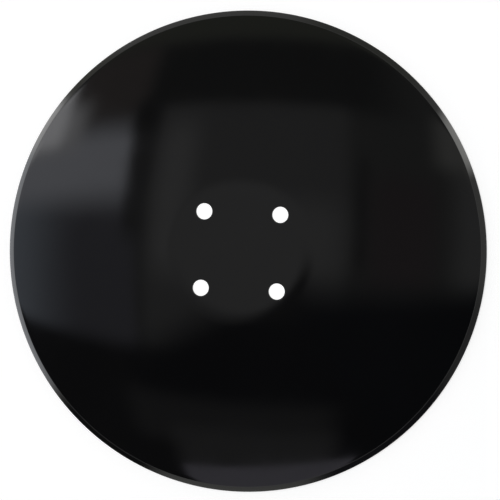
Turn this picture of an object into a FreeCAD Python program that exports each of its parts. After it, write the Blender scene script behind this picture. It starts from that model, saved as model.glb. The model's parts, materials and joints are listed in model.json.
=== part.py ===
"""Harrow disc blade: one dished steel disc with a flat hub seat, four bolt holes and a ground edge.

The blade lies rim down. Its axis is +Z, its convex face looks up, and the origin is the
centre of the rim plane, on the surface that the rim rests on. Sizes are in millimetres and degrees.
"""
import FreeCAD, Part
import math
import os

# Driving dimensions
BLADE_DIAMETER = 510.0        # over the cutting edge, a 20 inch class blade
PLATE_THICKNESS = 5.0         # even over the whole blade, square to the sheet
DISH_RADIUS = 660.0           # spherical radius of the concave face
FORMING_RADIUS = 170.0        # concave face: the slack bend between the flat hub seat and the dish
EDGE_LAND = 1.5               # height of the blunt cutting edge that grinding leaves
BEVEL_ANGLE = 26.0            # ground face, from the convex face at the rim
BOLT_CIRCLE_DIAMETER = 114.0
BOLT_COUNT = 4
BOLT_HOLE_DIAMETER = 17.0     # clears an M16 bolt
HOLE_EDGE_BREAK = 0.5         # 45 degree break at both ends of each punched hole
SEAT_MARGIN = 3.0             # flat left outside the bolt circle, before the forming bend

AXIS = FreeCAD.Vector(0, 0, 1)
CENTRE = FreeCAD.Vector(0, 0, 0)
FULL_TURN = 360.0
CUTTER_REACH = 1.0            # how far a hole's cutter stands proud of the hub seat's faces

# The blade's section: both faces share the dish centre on the axis, and the forming centre
RIM_R = BLADE_DIAMETER / 2
SEAT_R = BOLT_CIRCLE_DIAMETER / 2 + SEAT_MARGIN
OUTER_DISH_RADIUS = DISH_RADIUS + PLATE_THICKNESS
OUTER_FORMING_RADIUS = FORMING_RADIUS + PLATE_THICKNESS
DISH_CENTRE_Z = -math.sqrt(DISH_RADIUS ** 2 - RIM_R ** 2)
FORMING_CENTRE_Z = DISH_CENTRE_Z + math.sqrt((DISH_RADIUS - FORMING_RADIUS) ** 2 - SEAT_R ** 2)
INNER_SEAT_Z = FORMING_CENTRE_Z + FORMING_RADIUS
OUTER_SEAT_Z = INNER_SEAT_Z + PLATE_THICKNESS


def section_point(r, z):
    """A point of the section, in the XZ plane."""
    return FreeCAD.Vector(r, 0, z)


def on_dish(radius, slope):
    """The point of a dish face whose tangent falls by slope from the horizontal."""
    return section_point(radius * math.sin(slope), DISH_CENTRE_Z + radius * math.cos(slope))


def on_forming_bend(radius, slope):
    """The point of a forming bend whose tangent falls by slope from the horizontal."""
    return section_point(SEAT_R + radius * math.sin(slope),
                         FORMING_CENTRE_Z + radius * math.cos(slope))


def bevel_top():
    """Where the ground face, rising inwards from the land, runs out on the convex face."""
    steepness = math.asin(RIM_R / OUTER_DISH_RADIUS) + math.radians(BEVEL_ANGLE)
    inwards = section_point(-math.cos(steepness), math.sin(steepness))
    start = section_point(RIM_R, EDGE_LAND)
    from_centre = start - section_point(0, DISH_CENTRE_Z)
    along = from_centre.dot(inwards)
    length = math.sqrt(along ** 2 + OUTER_DISH_RADIUS ** 2 - from_centre.dot(from_centre)) - along
    return start + inwards * length


def slope_at(point):
    """How steeply a dish face falls at a point of the section."""
    return math.atan2(point.x, point.z - DISH_CENTRE_Z)


def blade_section():
    """The closed half section, from the axis over the convex face to the edge and back underneath."""
    bend_slope = math.atan2(SEAT_R, FORMING_CENTRE_Z - DISH_CENTRE_Z)
    ground = bevel_top()
    ground_slope = slope_at(ground)
    rim_slope = slope_at(section_point(RIM_R, 0))

    outer_centre = section_point(0, OUTER_SEAT_Z)
    outer_seat_end = section_point(SEAT_R, OUTER_SEAT_Z)
    outer_dish_start = on_dish(OUTER_DISH_RADIUS, bend_slope)
    land_top = section_point(RIM_R, EDGE_LAND)
    land_foot = section_point(RIM_R, 0)
    inner_dish_start = on_dish(DISH_RADIUS, bend_slope)
    inner_seat_end = section_point(SEAT_R, INNER_SEAT_Z)
    inner_centre = section_point(0, INNER_SEAT_Z)

    edges = [
        Part.LineSegment(outer_centre, outer_seat_end),
        Part.Arc(outer_seat_end, on_forming_bend(OUTER_FORMING_RADIUS, bend_slope / 2),
                 outer_dish_start),
        Part.Arc(outer_dish_start, on_dish(OUTER_DISH_RADIUS, (bend_slope + ground_slope) / 2),
                 ground),
        Part.LineSegment(ground, land_top),
        Part.LineSegment(land_top, land_foot),
        Part.Arc(land_foot, on_dish(DISH_RADIUS, (rim_slope + bend_slope) / 2),
                 inner_dish_start),
        Part.Arc(inner_dish_start, on_forming_bend(FORMING_RADIUS, bend_slope / 2),
                 inner_seat_end),
        Part.LineSegment(inner_seat_end, inner_centre),
        Part.LineSegment(inner_centre, outer_centre),
    ]
    return Part.Face(Part.Wire([edge.toShape() for edge in edges]))


def hole_cutter():
    """One punched hole on the axis, with its broken edges.

    Its cones run on past the hub seat's faces, because the forming bend starts under the
    outer side of each hole and falls a tenth of a millimetre there.
    """
    hole_r = BOLT_HOLE_DIAMETER / 2
    mouth_r = hole_r + HOLE_EDGE_BREAK + CUTTER_REACH
    low_end = INNER_SEAT_Z - CUTTER_REACH
    high_end = OUTER_SEAT_Z + CUTTER_REACH
    corners = [
        section_point(0, low_end),
        section_point(mouth_r, low_end),
        section_point(hole_r, INNER_SEAT_Z + HOLE_EDGE_BREAK),
        section_point(hole_r, OUTER_SEAT_Z - HOLE_EDGE_BREAK),
        section_point(mouth_r, high_end),
        section_point(0, high_end),
    ]
    outline = Part.makePolygon(corners + corners[:1])
    return Part.Face(outline).revolve(CENTRE, AXIS, FULL_TURN)


def bolt_holes():
    """The hole pattern, square to X and Y: the holes stand at 45 degrees to the axes."""
    pitch = FULL_TURN / BOLT_COUNT
    holes = []
    for index in range(BOLT_COUNT):
        hole = hole_cutter()
        hole.translate(FreeCAD.Vector(BOLT_CIRCLE_DIAMETER / 2, 0, 0))
        hole.rotate(CENTRE, AXIS, pitch * (index + 0.5))
        holes.append(hole)
    return holes


def disc_blade():
    """The dished plate with its ground edge, pierced by the bolt holes."""
    plate = blade_section().revolve(CENTRE, AXIS, FULL_TURN)
    return plate.cut(bolt_holes())


os.makedirs("parts", exist_ok=True)
blade = disc_blade()
blade.exportStep("parts/disc_blade.step")

STEEL_DENSITY = 7.85e-6       # kilograms in each cubic millimetre
box = blade.BoundBox
print("valid", blade.isValid(), "solids", len(blade.Solids), "faces", len(blade.Faces))
print("size %.3f x %.3f x %.3f mm" % (box.XLength, box.YLength, box.ZLength))
print("lowest %.3f mm, highest %.3f mm" % (box.ZMin, box.ZMax))
print("hub seat %.1f mm across, its underside %.3f mm above the rim plane" % (2 * SEAT_R, INNER_SEAT_Z))
print("volume %.0f mm3, %.2f kg of steel" % (blade.Volume, blade.Volume * STEEL_DENSITY))
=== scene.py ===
"""Harrow disc blade in deep black gloss enamel, lying rim down on a white floor.

Everything is in metres, in the part's frame: +Z is the blade's axis, and the rim rests at z = 0.
"""
import json
import math

import bmesh
import bpy
from mathutils import Matrix, Vector


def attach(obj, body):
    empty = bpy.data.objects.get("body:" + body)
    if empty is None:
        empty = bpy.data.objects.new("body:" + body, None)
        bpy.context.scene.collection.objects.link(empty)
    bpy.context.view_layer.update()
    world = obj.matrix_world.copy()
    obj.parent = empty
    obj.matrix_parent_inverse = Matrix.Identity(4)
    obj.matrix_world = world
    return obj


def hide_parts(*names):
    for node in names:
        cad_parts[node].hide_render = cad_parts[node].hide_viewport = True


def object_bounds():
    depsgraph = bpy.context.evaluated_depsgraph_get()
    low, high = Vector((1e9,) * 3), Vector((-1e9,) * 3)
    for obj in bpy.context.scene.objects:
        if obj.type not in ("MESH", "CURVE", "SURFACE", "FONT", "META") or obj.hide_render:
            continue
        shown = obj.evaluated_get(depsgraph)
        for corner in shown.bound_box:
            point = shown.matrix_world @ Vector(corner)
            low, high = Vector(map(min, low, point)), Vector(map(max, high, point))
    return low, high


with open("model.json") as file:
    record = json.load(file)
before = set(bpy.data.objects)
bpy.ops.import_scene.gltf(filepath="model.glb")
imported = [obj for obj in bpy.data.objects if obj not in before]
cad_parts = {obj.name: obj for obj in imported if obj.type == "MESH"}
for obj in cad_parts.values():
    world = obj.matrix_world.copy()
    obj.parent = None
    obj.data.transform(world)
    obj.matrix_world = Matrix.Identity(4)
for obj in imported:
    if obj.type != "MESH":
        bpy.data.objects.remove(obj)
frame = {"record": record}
cad_low, cad_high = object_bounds()
hub_bolts = next(m for m in frame["record"]["mounts"] if m["name"] == "hub_bolts")

# The blade's sizes that its box and its mounts don't give
PLATE_THICKNESS = 0.005
DISH_RADIUS = 0.660               # concave face
FORMING_RADIUS = 0.170            # concave face
SEAT_MARGIN = 0.003               # flat left outside the bolt circle
EDGE_LAND = 0.0015
BEVEL_ANGLE = math.radians(26)
HOLE_EDGE_BREAK = 0.0005
ENAMEL_RADIUS = 0.00035           # how far the enamel rounds each edge, along its faces
HOLE_ENAMEL_RADIUS = 0.00018

# How finely the smooth faces are divided
TURN_STEPS = 480
FLAT_STEPS = 12
FORMING_STEPS = 14
DISH_STEPS = 36
EDGE_STEPS = 4
HOLE_STEPS = 72
COLLAR_R = 0.0105                 # round each hole, where its own rings meet the plate's
COLLAR_GAP = 0.0004

RIM_R = cad_high.x
TOP_Z = cad_high.z
UNDERSIDE_Z = TOP_Z - PLATE_THICKNESS
BOLT_CIRCLE_R = hub_bolts["dims"]["pcd_mm"] / 2000
HOLE_R = hub_bolts["dims"]["hole_r_mm"] / 1000
HOLE_COUNT = hub_bolts["dims"]["count"]
SEAT_R = BOLT_CIRCLE_R + SEAT_MARGIN
CORE_R = BOLT_CIRCLE_R - 1.5 * COLLAR_R     # one flat face fills the seat inside this
MIDDLE_Z = TOP_Z - PLATE_THICKNESS / 2
OUTER_DISH_RADIUS = DISH_RADIUS + PLATE_THICKNESS
OUTER_FORMING_RADIUS = FORMING_RADIUS + PLATE_THICKNESS
DISH_CENTRE_Z = -math.sqrt(DISH_RADIUS ** 2 - RIM_R ** 2)
FORMING_CENTRE_Z = UNDERSIDE_Z - FORMING_RADIUS


# --- The blade's mesh ---

def arc(centre_r, centre_z, radius, start, end, steps):
    """Section points on an arc, from one slope to another, both measured from the axis."""
    slopes = [start + (end - start) * i / steps for i in range(steps + 1)]
    return [Vector((centre_r + radius * math.sin(s), centre_z + radius * math.cos(s))) for s in slopes]


def soften(before, corner, after, reach, steps=EDGE_STEPS):
    """The points that round a corner between two neighbours, as the enamel does."""
    start = corner + (before - corner).normalized() * reach
    end = corner + (after - corner).normalized() * reach
    curve = []
    for i in range(steps + 1):
        t = i / steps
        curve.append(start * (1 - t) ** 2 + corner * 2 * t * (1 - t) + end * t ** 2)
    return curve


def softened(line, reach):
    """A section line with each of its inner corners rounded."""
    points = [line[0]]
    for before, corner, after in zip(line, line[1:], line[2:]):
        points += soften(before, corner, after, reach)
    return points + [line[-1]]


def bevel_top():
    """Where the ground face, rising inwards from the land, runs out on the convex face."""
    steepness = math.asin(RIM_R / OUTER_DISH_RADIUS) + BEVEL_ANGLE
    inwards = Vector((-math.cos(steepness), math.sin(steepness)))
    start = Vector((RIM_R, EDGE_LAND))
    from_centre = start - Vector((0, DISH_CENTRE_Z))
    along = from_centre.dot(inwards)
    length = math.sqrt(along ** 2 + OUTER_DISH_RADIUS ** 2 - from_centre.length_squared) - along
    return start + inwards * length


def level(z, start, end):
    """Section points along the flat of the hub seat, from one radius towards another."""
    return [Vector((start + (end - start) * i / FLAT_STEPS, z)) for i in range(FLAT_STEPS)]


def blade_section():
    """The section from the hub seat over the convex face to the edge, and back underneath."""
    bend_slope = math.atan2(SEAT_R, FORMING_CENTRE_Z - DISH_CENTRE_Z)
    rim_slope = math.asin(RIM_R / DISH_RADIUS)
    ground = bevel_top()
    ground_slope = math.asin(ground.x / OUTER_DISH_RADIUS)
    land_top = Vector((RIM_R, EDGE_LAND))
    land_foot = Vector((RIM_R, 0))

    outer_bend = arc(SEAT_R, FORMING_CENTRE_Z, OUTER_FORMING_RADIUS, 0, bend_slope, FORMING_STEPS)
    outer_dish = arc(0, DISH_CENTRE_Z, OUTER_DISH_RADIUS, bend_slope, ground_slope, DISH_STEPS)
    inner_dish = arc(0, DISH_CENTRE_Z, DISH_RADIUS, rim_slope, bend_slope, DISH_STEPS)
    inner_bend = arc(SEAT_R, FORMING_CENTRE_Z, FORMING_RADIUS, bend_slope, 0, FORMING_STEPS)
    edge = softened([outer_dish[-2], ground, land_top, land_foot, inner_dish[1]], ENAMEL_RADIUS)
    underside = level(UNDERSIDE_Z, CORE_R, SEAT_R)
    return (level(TOP_Z, CORE_R, SEAT_R) + outer_bend + outer_dish[1:-2] + edge
            + inner_dish[2:] + inner_bend[1:] + underside[::-1])


def hole_section():
    """One bolt hole's wall, from the convex face down to the concave one, with its broken edges."""
    mouth_r = HOLE_R + HOLE_EDGE_BREAK
    return softened([
        Vector((COLLAR_R, TOP_Z)),
        Vector((mouth_r, TOP_Z)),
        Vector((HOLE_R, TOP_Z - HOLE_EDGE_BREAK)),
        Vector((HOLE_R, UNDERSIDE_Z + HOLE_EDGE_BREAK)),
        Vector((mouth_r, UNDERSIDE_Z)),
        Vector((COLLAR_R, UNDERSIDE_Z)),
    ], HOLE_ENAMEL_RADIUS)


def revolve(mesh, section, steps, centre=Vector((0, 0))):
    """Turns a section about a vertical axis, and returns its rings of points."""
    rings = []
    for point in section:
        ring = []
        for i in range(steps):
            turn = math.tau * i / steps
            ring.append(mesh.verts.new((centre.x + point.x * math.cos(turn),
                                        centre.y + point.x * math.sin(turn), point.y)))
        rings.append(ring)
    for upper, lower in zip(rings, rings[1:]):
        for i in range(steps):
            j = (i + 1) % steps
            mesh.faces.new((upper[i], lower[i], lower[j], upper[j]))
    return rings


def fall(place):
    """How far the plate's nearer face lies below the hub seat's level, on the forming bend."""
    bend_radius = OUTER_FORMING_RADIUS if place.z > MIDDLE_Z else FORMING_RADIUS
    beyond = max(place.xy.length - SEAT_R, 0)
    return bend_radius - math.sqrt(bend_radius ** 2 - beyond ** 2)


def open_plate(mesh, centre):
    """Clears both faces of the plate round one bolt hole, where the hole's own rings come."""
    reach = COLLAR_R + COLLAR_GAP
    near = [face for face in mesh.faces
            if any((vert.co.xy - centre).length < reach for vert in face.verts)]
    bmesh.ops.delete(mesh, geom=near, context="FACES")


def join_hole(mesh, centre):
    """Joins each end of a hole's rings to the plate's face there."""
    around = [edge for edge in mesh.edges
              if edge.is_boundary and (edge.verts[0].co.xy - centre).length < 2 * COLLAR_R]
    for above in (True, False):
        edges = [edge for edge in around if (edge.verts[0].co.z > MIDDLE_Z) == above]
        bmesh.ops.triangle_fill(mesh, use_beauty=True, use_dissolve=False, edges=edges)


def make_blade():
    """The whole blade as one closed mesh, with the smooth faces that its gloss needs."""
    mesh = bmesh.new()
    rings = revolve(mesh, blade_section(), TURN_STEPS)
    mesh.faces.new(rings[0])
    mesh.faces.new(rings[-1])
    for i in range(HOLE_COUNT):
        turn = math.tau * (i + 0.5) / HOLE_COUNT
        centre = Vector((BOLT_CIRCLE_R * math.cos(turn), BOLT_CIRCLE_R * math.sin(turn)))
        open_plate(mesh, centre)
        for ring in revolve(mesh, hole_section(), HOLE_STEPS, centre):
            for vert in ring:
                vert.co.z -= fall(vert.co)
        join_hole(mesh, centre)
    bmesh.ops.recalc_face_normals(mesh, faces=mesh.faces)
    for face in mesh.faces:
        face.smooth = True
    data = bpy.data.meshes.new("blade_in_enamel")
    mesh.to_mesh(data)
    mesh.free()
    blade = bpy.data.objects.new("blade_in_enamel", data)
    bpy.context.scene.collection.objects.link(blade)
    return blade


# --- Shader nodes ---

class Nodes:
    """Short calls for the nodes of one material or world."""

    def __init__(self, owner):
        owner.use_nodes = True
        self.tree = owner.node_tree
        self.tree.nodes.clear()

    def add(self, kind, **settings):
        node = self.tree.nodes.new(kind)
        for name, value in settings.items():
            setattr(node, name, value)
        return node

    def feed(self, socket, value):
        """Links a socket to another one, or sets it to a value."""
        if isinstance(value, bpy.types.NodeSocket):
            self.tree.links.new(value, socket)
        else:
            socket.default_value = value

    def math(self, operation, a, b=0.0, clamp=False):
        node = self.add("ShaderNodeMath", operation=operation, use_clamp=clamp)
        self.feed(node.inputs[0], a)
        self.feed(node.inputs[1], b)
        return node.outputs[0]

    def vector(self, operation, a, b=(0, 0, 0)):
        node = self.add("ShaderNodeVectorMath", operation=operation)
        self.feed(node.inputs[0], a)
        self.feed(node.inputs[1], b)
        return node.outputs["Value" if operation in ("LENGTH", "DOT_PRODUCT") else "Vector"]

    def ramp(self, value, low, high, to_low=0.0, to_high=1.0):
        """A smooth step from to_low to to_high as the value goes from low to high."""
        node = self.add("ShaderNodeMapRange", interpolation_type="SMOOTHSTEP")
        for name, given in (("Value", value), ("From Min", low), ("From Max", high),
                            ("To Min", to_low), ("To Max", to_high)):
            self.feed(node.inputs[name], given)
        return node.outputs["Result"]

    def mix(self, amount, a, b):
        node = self.add("ShaderNodeMix", data_type="RGBA")
        self.feed(node.inputs[0], amount)
        self.feed(node.inputs[6], a)
        self.feed(node.inputs[7], b)
        return node.outputs[2]

    def noise(self, where, scale, detail=2.0, roughness=0.5):
        node = self.add("ShaderNodeTexNoise")
        self.feed(node.inputs["Vector"], where)
        self.feed(node.inputs["Scale"], scale)
        self.feed(node.inputs["Detail"], detail)
        self.feed(node.inputs["Roughness"], roughness)
        return node.outputs["Fac"]


def grey(value):
    return (value, value, value, 1)


# --- The enamel ---

DARK_ENAMEL = (0.0016, 0.0016, 0.0018, 1)
LIGHT_ENAMEL = (0.0030, 0.0030, 0.0033, 1)
CLOUD_SCALE = 9.0
HAZE_SCALE = 26.0
SMOOTHEST = 0.065
ROUGHEST = 0.095
PEEL_SCALE = 420.0                # orange peel
PEEL_STRENGTH = 0.10
PEEL_DEPTH = 0.00004
WAVE_SCALE = 14.0                 # slow waves of the plate
WAVE_STRENGTH = 0.30
WAVE_DEPTH = 0.0004


def relief(n, height, strength, depth, under=None):
    """The normal of a slight relief, laid over another normal where one is given."""
    bump = n.add("ShaderNodeBump")
    n.feed(bump.inputs["Strength"], strength)
    n.feed(bump.inputs["Distance"], depth)
    n.feed(bump.inputs["Height"], height)
    if under:
        n.feed(bump.inputs["Normal"], under)
    return bump.outputs["Normal"]


def enamel():
    """Deep black gloss enamel: even in colour, with fine orange peel and slow waves of the plate."""
    material = bpy.data.materials.new("black_enamel")
    n = Nodes(material)
    place = n.add("ShaderNodeTexCoord").outputs["Object"]

    colour = n.mix(n.noise(place, CLOUD_SCALE, 3.0), DARK_ENAMEL, LIGHT_ENAMEL)
    haze = n.noise(place, HAZE_SCALE, 4.0, 0.6)
    peel = n.noise(place, PEEL_SCALE)
    waves = n.noise(place, WAVE_SCALE, 1.0)
    fine = relief(n, peel, PEEL_STRENGTH, PEEL_DEPTH)

    paint = n.add("ShaderNodeBsdfPrincipled")
    n.feed(paint.inputs["Base Color"], colour)
    n.feed(paint.inputs["Roughness"], n.ramp(haze, 0.30, 0.70, SMOOTHEST, ROUGHEST))
    n.feed(paint.inputs["Normal"], relief(n, waves, WAVE_STRENGTH, WAVE_DEPTH, fine))
    output = n.add("ShaderNodeOutputMaterial")
    n.feed(output.inputs["Surface"], paint.outputs["BSDF"])
    return material


# --- The studio ---

FLOOR_SIZE = 60.0
FLOOR_COLOUR = 0.5
INNER_GLOW = 1.0                  # painted light under the blade, where the dish shades the floor, so that the floor behind the bolt holes shows white
OUTER_GLOW = 0.62
INNER_GLOW_R = 0.6 * RIM_R
OUTER_GLOW_R = 0.9 * RIM_R


def seen_directly(n):
    """1 where the camera looks straight at a thing, or at its image in gloss or glass."""
    path = n.add("ShaderNodeLightPath")
    rays = path.outputs["Is Camera Ray"]
    for kind in ("Is Glossy Ray", "Is Transmission Ray"):
        rays = n.math("MAXIMUM", rays, path.outputs[kind])
    return rays


def make_floor():
    """A white floor that keeps the blade's soft shadow, with painted light: it glows most under the
    blade and behind the bolt holes, where the dish shades it.
    """
    bpy.ops.mesh.primitive_plane_add(size=FLOOR_SIZE)
    floor = bpy.context.object
    floor.name = "floor"
    material = bpy.data.materials.new("floor_white")
    n = Nodes(material)
    place = n.add("ShaderNodeTexCoord").outputs["Object"]
    from_axis = n.vector("LENGTH", place)
    # painted light: the floor glows brighter under the blade, where the dish shades it
    glow = n.ramp(from_axis, INNER_GLOW_R, OUTER_GLOW_R, INNER_GLOW, OUTER_GLOW)
    surface = n.add("ShaderNodeBsdfDiffuse")
    n.feed(surface.inputs["Color"], grey(FLOOR_COLOUR))
    light = n.add("ShaderNodeEmission")
    n.feed(light.inputs["Color"], grey(1.0))
    n.feed(light.inputs["Strength"], n.math("MULTIPLY", glow, seen_directly(n)))
    both = n.add("ShaderNodeAddShader")
    n.feed(both.inputs[0], surface.outputs[0])
    n.feed(both.inputs[1], light.outputs[0])
    output = n.add("ShaderNodeOutputMaterial")
    n.feed(output.inputs["Surface"], both.outputs[0])
    floor.data.materials.append(material)


# The studio as the gloss shows it, laid out as on a flat ceiling one metre up: panels painted one
# over the other, each with its middle and half size in metres, the softness of its edges, its
# turn in degrees and its light. They are set so that the main view's gloss shows what the photo's does
PANELS = [
    ("far_ceiling", (0.0, 1.60), (4.0, 0.73), (0.1, 0.07), 0, (0.21, 0.22, 0.18)),
    ("top_wall", (-0.12, 0.70), (0.52, 0.17), (0.16, 0.05), 0, (0.065, 0.067, 0.064)),
    ("main_panel", (-0.14, 0.03), (0.36, 0.50), (0.04, 0.04), 0, (0.235, 0.235, 0.235)),
    ("panel_left", (-0.40, 0.18), (0.07, 0.27), (0.06, 0.10), 0, (0.43, 0.43, 0.43)),
    ("panel_low", (-0.08, 0.04), (0.28, 0.12), (0.08, 0.08), 0, (0.36, 0.36, 0.36)),
    ("right_gap", (0.275, 0.14), (0.025, 0.20), (0.03, 0.06), 0, (0.08, 0.08, 0.08)),
    ("right_tint", (0.44, 0.08), (0.13, 0.20), (0.06, 0.08), 0, (0.15, 0.125, 0.13)),
    ("right_band", (2.0, 0.10), (1.33, 0.27), (0.09, 0.08), 0, (0.31, 0.31, 0.31)),
    ("right_lamp", (2.0, 0.46), (1.42, 0.11), (0.06, 0.05), 0, (0.45, 0.45, 0.43)),
    ("left_wall", (-1.60, -0.08), (1.06, 0.40), (0.04, 0.06), 0, (0.235, 0.235, 0.27)),
    ("far_left_wall", (-2.2, -0.04), (1.10, 0.42), (0.30, 0.10), 0, (0.72, 0.80, 0.92)),
    ("brown_wall", (-0.82, 0.68), (0.22, 0.19), (0.06, 0.08), 0, (0.23, 0.20, 0.19)),
    ("window", (-1.60, 0.31), (1.00, 0.15), (0.06, 0.09), 0, (1.25, 1.28, 1.40)),
    ("window_top", (-1.60, 0.50), (0.68, 0.11), (0.08, 0.07), 0, (1.45, 1.45, 1.50)),
    ("window_heart", (-1.60, 0.58), (0.54, 0.16), (0.06, 0.06), 0, (3.0, 3.0, 3.1)),
    ("pillar", (-0.56, 0.28), (0.045, 0.26), (0.035, 0.06), 0, (0.12, 0.12, 0.12)),
    ("pillar_top", (-0.57, 0.50), (0.06, 0.07), (0.05, 0.05), 0, (0.06, 0.06, 0.06)),
    ("dim_side", (0.0, -1.40), (4.0, 1.01), (0.1, 0.05), 0, (0.035, 0.035, 0.036)),
    ("dim_right", (1.95, -1.14), (2.0, 1.0), (0.08, 0.09), 0, (0.018, 0.021, 0.026)),
    ("dim_corner", (0.215, -1.127), (0.36, 1.0), (0.05, 0.09), 31, (0.02, 0.021, 0.024)),
    ("dim_head", (0.00, -0.14), (0.07, 0.10), (0.06, 0.05), 0, (0.045, 0.045, 0.045)),
    ("low_wall_top", (-0.20, -0.70), (0.42, 0.12), (0.08, 0.06), 0, (0.10, 0.10, 0.10)),
    ("low_wall", (-0.10, -0.84), (0.33, 0.12), (0.06, 0.06), 0, (0.16, 0.16, 0.16)),
    ("low_light", (0.0, -1.31), (0.38, 0.40), (0.02, 0.015), 7, (0.58, 0.56, 0.65)),
]
CEILING = (0.145, 0.147, 0.142)
WALLS = (0.9, 0.9, 0.9)
WALL_FOOT = math.cos(math.radians(66))    # further than this from the zenith only walls show
WALL_HEAD = math.cos(math.radians(58))    # nearer than this only the ceiling does
LEAST_HEIGHT = 0.05                       # of a direction that is followed to the ceiling


def within(n, place, middle, half, soft):
    """1 inside a stretch of one coordinate, falling softly to 0 at its ends."""
    off = n.math("ABSOLUTE", n.math("SUBTRACT", place, middle))
    return n.ramp(off, half + soft, half - soft)


def on_ceiling(n, direction):
    """Where a direction meets the ceiling, as two coordinates."""
    parts = n.add("ShaderNodeSeparateXYZ")
    n.feed(parts.inputs[0], direction)
    height = n.math("MAXIMUM", parts.outputs["Z"], LEAST_HEIGHT)
    return n.math("DIVIDE", parts.outputs["X"], height), n.math("DIVIDE", parts.outputs["Y"], height)


def turned(n, x, y, middle, turn):
    """Coordinates about a panel's middle, along and across it."""
    x = n.math("SUBTRACT", x, middle[0])
    y = n.math("SUBTRACT", y, middle[1])
    cos = math.cos(math.radians(turn))
    sin = math.sin(math.radians(turn))
    along = n.math("ADD", n.math("MULTIPLY", x, cos), n.math("MULTIPLY", y, sin))
    across = n.math("SUBTRACT", n.math("MULTIPLY", y, cos), n.math("MULTIPLY", x, sin))
    return along, across


def make_world():
    """A dim studio with panels overhead and white walls, which the camera itself sees as white."""
    world = bpy.data.worlds.new("studio")
    bpy.context.scene.world = world
    n = Nodes(world)
    direction = n.add("ShaderNodeTexCoord").outputs["Generated"]
    x, y = on_ceiling(n, direction)
    light = (*CEILING, 1)
    for _, middle, half, soft, turn, colour in PANELS:
        along, across = turned(n, x, y, middle, turn)
        panel = n.math("MULTIPLY", within(n, along, 0.0, half[0], soft[0]),
                       within(n, across, 0.0, half[1], soft[1]))
        light = n.mix(panel, light, (*colour, 1))
    height = n.vector("DOT_PRODUCT", direction, (0, 0, 1))
    low = n.ramp(height, WALL_HEAD, WALL_FOOT)
    light = n.mix(low, light, (*WALLS, 1))
    path = n.add("ShaderNodeLightPath")
    backdrop = n.math("MULTIPLY", low, seen_directly(n))
    shown = n.math("MAXIMUM", path.outputs["Is Camera Ray"], backdrop)
    background = n.add("ShaderNodeBackground")
    n.feed(background.inputs["Color"], n.mix(shown, light, grey(1.0)))
    output = n.add("ShaderNodeOutputWorld")
    n.feed(output.inputs["Surface"], background.outputs[0])


# What stands low round the blade, as its ground edge shows it: each card's middle bearing and half
# width in degrees, the softness of its ends, and its light
EDGE_CARDS = [
    ("left_window", 178, 37, 7, (1.9, 1.95, 2.05)),
    ("left_corner", 150, 6, 5, (3.0, 3.0, 3.0)),
    ("upper_left", 135, 7, 5, (0.40, 0.40, 0.36)),
    ("upper_right", 62, 14, 8, (0.36, 0.37, 0.33)),
    ("right_lamp", 30, 6, 4, (3.0, 3.0, 2.9)),
    ("lower_right", 316, 26, 6, (0.06, 0.06, 0.07)),
    ("right", 340, 9, 8, (0.28, 0.28, 0.28)),
    ("lower_left", 235, 14, 5, (0.03, 0.03, 0.03)),
]
EDGE_LIGHT = (0.58, 0.58, 0.56)
RING_NEAR = 0.002                 # from the rim to the ring's inner edge
RING_FAR = 0.035
RING_FOOT = 0.0002                # height of that inner edge
RING_HEAD = 0.010


def make_edge_cards():
    """A low ring of cards round the blade, which only the gloss of its ground edge shows."""
    mesh = bmesh.new()
    ring = [Vector((RIM_R + RING_FAR, RING_HEAD)), Vector((RIM_R + RING_NEAR, RING_FOOT))]
    revolve(mesh, ring, TURN_STEPS)
    data = bpy.data.meshes.new("edge_cards")
    mesh.to_mesh(data)
    mesh.free()
    cards = bpy.data.objects.new("edge_cards", data)
    bpy.context.scene.collection.objects.link(cards)
    cards.visible_camera = False
    cards.visible_diffuse = False
    cards.visible_transmission = False
    cards.visible_shadow = False

    material = bpy.data.materials.new("edge_cards")
    material.cycles.emission_sampling = "NONE"
    n = Nodes(material)
    place = n.add("ShaderNodeTexCoord").outputs["Object"]
    flat = n.vector("NORMALIZE", n.vector("MULTIPLY", place, (1, 1, 0)))
    light = (*EDGE_LIGHT, 1)
    for _, bearing, half, soft, colour in EDGE_CARDS:
        towards = Vector((math.cos(math.radians(bearing)), math.sin(math.radians(bearing)), 0))
        facing = n.vector("DOT_PRODUCT", flat, towards)
        card = n.ramp(facing, math.cos(math.radians(half + soft)),
                      math.cos(math.radians(max(half - soft, 0))))
        light = n.mix(card, light, (*colour, 1))
    glow = n.add("ShaderNodeEmission")
    n.feed(glow.inputs["Color"], light)
    output = n.add("ShaderNodeOutputMaterial")
    n.feed(output.inputs["Surface"], glow.outputs[0])
    cards.data.materials.append(material)


FILL_PLACE = (-0.8, 0.6, 3.0)
FILL_SIZE = 3.0
FILL_POWER = 55.0


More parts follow.
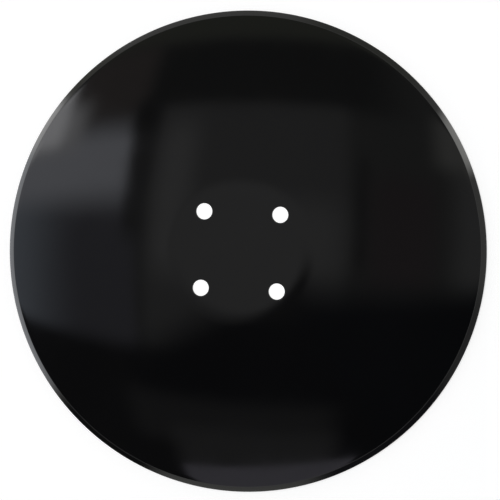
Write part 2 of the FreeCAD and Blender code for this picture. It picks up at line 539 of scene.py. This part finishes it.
def make_fill():
    """A soft overhead lamp that brings the studio to a plain level, and doesn't show in the gloss."""
    lamp = bpy.data.lights.new("fill", "AREA")
    lamp.size = FILL_SIZE
    lamp.energy = FILL_POWER
    fill = bpy.data.objects.new("fill", lamp)
    fill.location = FILL_PLACE
    fill.rotation_euler = (-fill.location).to_track_quat("-Z", "Y").to_euler()
    fill.visible_glossy = False
    fill.visible_camera = False
    bpy.context.scene.collection.objects.link(fill)


# --- The camera ---

CAMERA_DISTANCE = 6.0
CAMERA_TILT = math.radians(7.72)      # off the blade's axis
CAMERA_BEARING = math.radians(4.6)    # of that tilt, from +X
CAMERA_ROLL = math.radians(2.76)
CAMERA_LENS = 407.7                   # millimetres, as the next one
CAMERA_SENSOR = 36.0
AIM_RIGHT = 0.0031                    # where it aims, from the rim plane's centre, as it sees it
AIM_UP = 0.00125


def camera_axes(back):
    """The camera's right and up, once its own back is known."""
    sideways = (Vector((1, 0, 0)) - back * back.x).normalized()
    right = Matrix.Rotation(-CAMERA_ROLL, 3, -back) @ sideways
    return right, back.cross(right)


def make_camera():
    """The camera at the photo's angle, far off with a long lens."""
    camera = bpy.data.cameras.new("camera")
    camera.lens = CAMERA_LENS
    camera.sensor_width = CAMERA_SENSOR
    camera.clip_start = 0.1
    camera.clip_end = 100.0
    back = Vector((math.sin(CAMERA_TILT) * math.cos(CAMERA_BEARING),
                   math.sin(CAMERA_TILT) * math.sin(CAMERA_BEARING), math.cos(CAMERA_TILT)))
    right, up = camera_axes(back)
    place = back * CAMERA_DISTANCE
    back = (place - right * AIM_RIGHT - up * AIM_UP).normalized()
    right, up = camera_axes(back)
    holder = bpy.data.objects.new("camera", camera)
    holder.matrix_world = Matrix.Translation(place) @ Matrix((right, up, back)).transposed().to_4x4()
    bpy.context.scene.collection.objects.link(holder)
    bpy.context.scene.camera = holder


blade = make_blade()
blade.data.materials.append(enamel())
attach(blade, "root")
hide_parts("disc_blade")

make_floor()
make_world()
make_edge_cards()
make_fill()
make_camera()
bpy.context.scene.view_settings.view_transform = "Standard"
